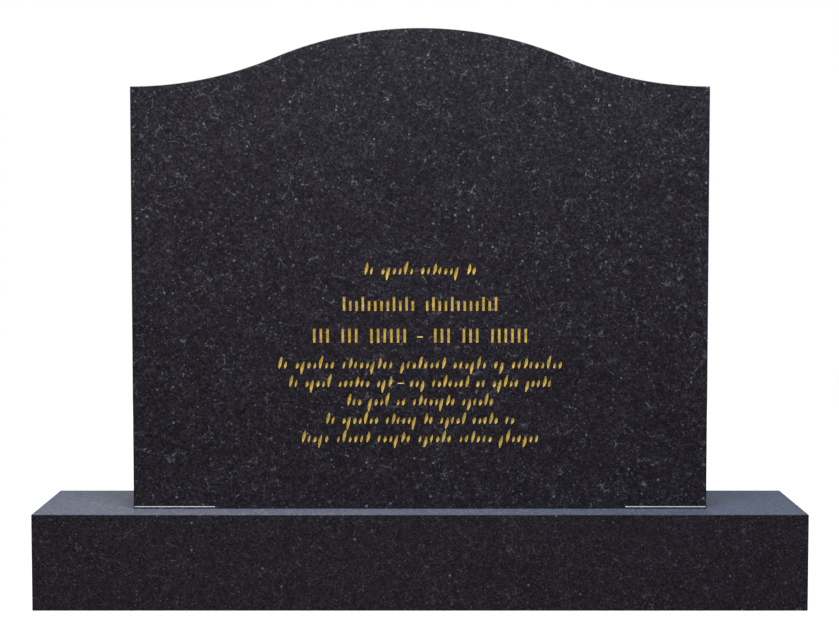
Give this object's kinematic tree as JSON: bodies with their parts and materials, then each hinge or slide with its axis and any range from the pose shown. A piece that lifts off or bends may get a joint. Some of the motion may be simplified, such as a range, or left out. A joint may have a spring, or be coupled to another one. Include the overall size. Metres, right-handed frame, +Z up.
{
  "type": "upright headstone",
  "caption": "Dark polished granite headstone: a tablet with a serpentine top and gilded rows of cut strokes, standing on a wide rectangular base stone.",
  "frame": {"origin": "centre of the underside of the base stone, on the ground", "axes": "+Z up, +X along the stone's width to a reader's right, and the inscribed face looks along -Y"},
  "size_m": [1.2, 0.25, 0.9003],
  "materials": {
    "base_granite": "polished granite, charcoal with a fine grain, its top face honed and slate blue",
    "tablet_granite": "polished granite, charcoal with pale and blue-grey flecks, its top face honed, the cut strokes gilded"
  },
  "bodies": {
    "root": {"base": "base_granite", "tablet": "tablet_granite"}
  },
  "joints": []
}
